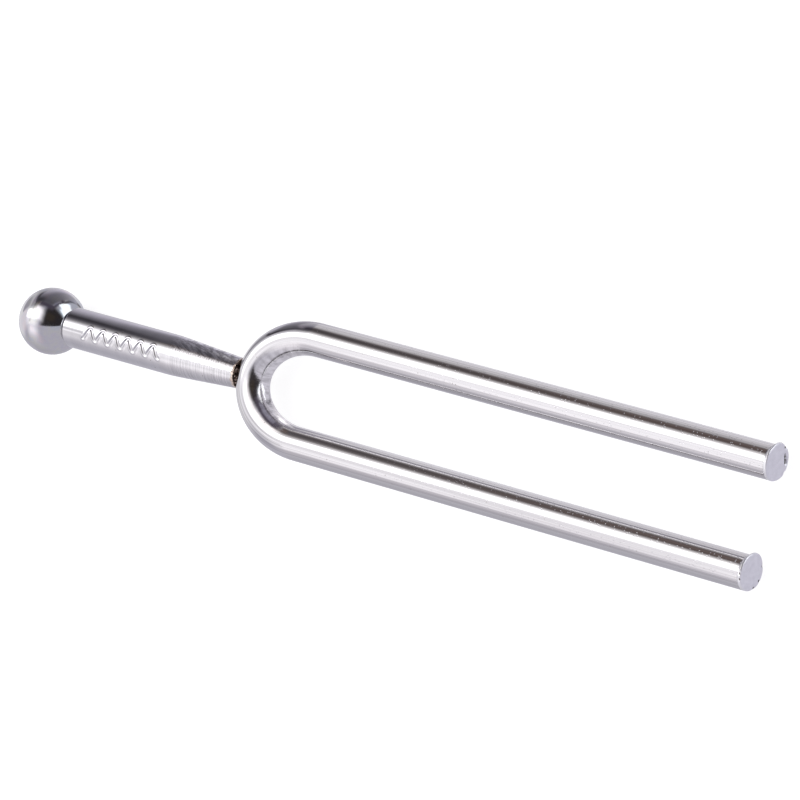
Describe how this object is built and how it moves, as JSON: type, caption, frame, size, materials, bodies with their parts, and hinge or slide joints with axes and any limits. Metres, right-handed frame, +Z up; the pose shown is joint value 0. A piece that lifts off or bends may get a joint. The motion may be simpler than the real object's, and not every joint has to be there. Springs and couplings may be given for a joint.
{
  "type": "tuning fork",
  "caption": "Steel tuning fork: one round bar bent into two tines, on a turned stem with a ball end. It sounds a fixed pitch when struck.",
  "frame": {"origin": "on the surface that the fork lies on, under the middle of its bounding box", "axes": "+X from the ball end to the tine tips, +Y across the two tines, +Z up from the surface. The fork's own axis dips 1 degree towards the tips, because it rests on its ball and its tine tips"},
  "size_m": [0.1256, 0.0192, 0.0093],
  "materials": {
    "bright_plating": "bright nickel plating over drawn bar, with faint drawing lines and small pits",
    "turned_plating": "nickel plating over turned steel, with circumferential tool marks",
    "ball_plating": "polished nickel plating, slightly darker than the bar",
    "weld_metal": "rough, heat-darkened weld"
  },
  "bodies": {
    "root": {"fork_bar": "bright_plating", "stem": "turned_plating", "ball_end": "ball_plating", "weld_bead": "weld_metal"}
  },
  "joints": []
}
